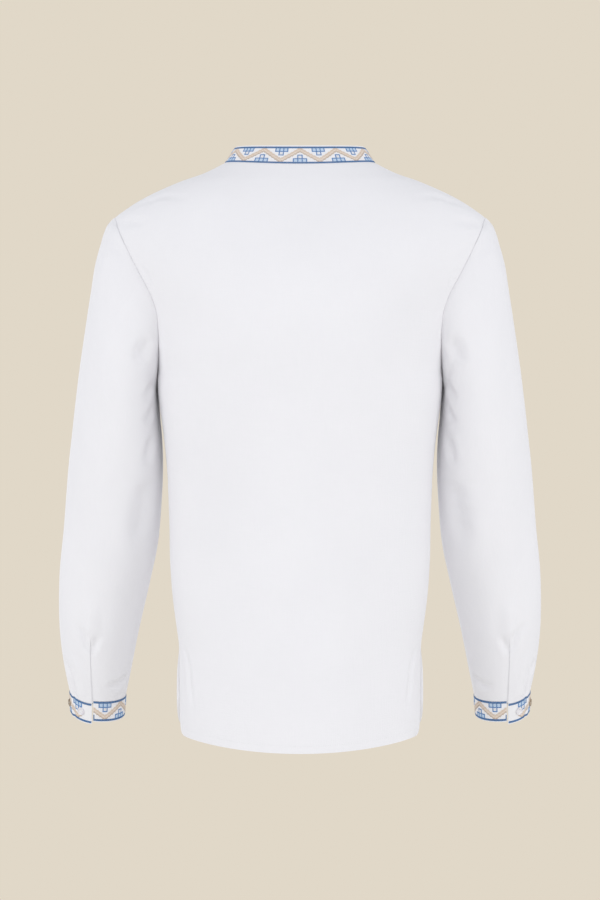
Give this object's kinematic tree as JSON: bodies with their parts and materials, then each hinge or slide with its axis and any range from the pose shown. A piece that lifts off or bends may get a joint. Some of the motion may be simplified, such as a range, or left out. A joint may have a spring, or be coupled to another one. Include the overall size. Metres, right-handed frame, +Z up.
{
  "type": "embroidered linen shirt filled out as worn",
  "caption": "Long-sleeved linen shirt with a stand collar, cross-stitched collar and cuff bands, a buttoned half placket and side slits, hollow and shaped as worn.",
  "frame": {"origin": "middle of the neck opening, level with the collar seam at the side of the neck, where the wearer's shoulders hold the shirt up", "axes": "+Z up, from the hem to the collar; the wearer faces -Y; the wearer's left arm is on +X"},
  "size_m": [0.6368, 0.274, 0.7743],
  "materials": {
    "white_linen": "plain-woven bleached linen, matt",
    "embroidered_band": "linen band with blue and beige counted cross-stitch",
    "horn_button": "brown horn-like button, satin",
    "pearl_button": "white pearly button, polished"
  },
  "bodies": {
    "root": {"back": "white_linen", "front": "white_linen", "sleeve_left": "white_linen", "sleeve_right": "white_linen", "placket_over": "white_linen", "placket_under": "white_linen", "collar": "embroidered_band", "cuff_left": "embroidered_band", "cuff_right": "embroidered_band", "button_collar": "pearl_button", "button_front_1": "pearl_button", "button_front_2": "pearl_button", "button_front_3": "pearl_button", "button_cuff_left_1": "pearl_button", "button_cuff_left_2": "horn_button", "button_cuff_right_1": "pearl_button", "button_cuff_right_2": "horn_button"}
  },
  "joints": []
}
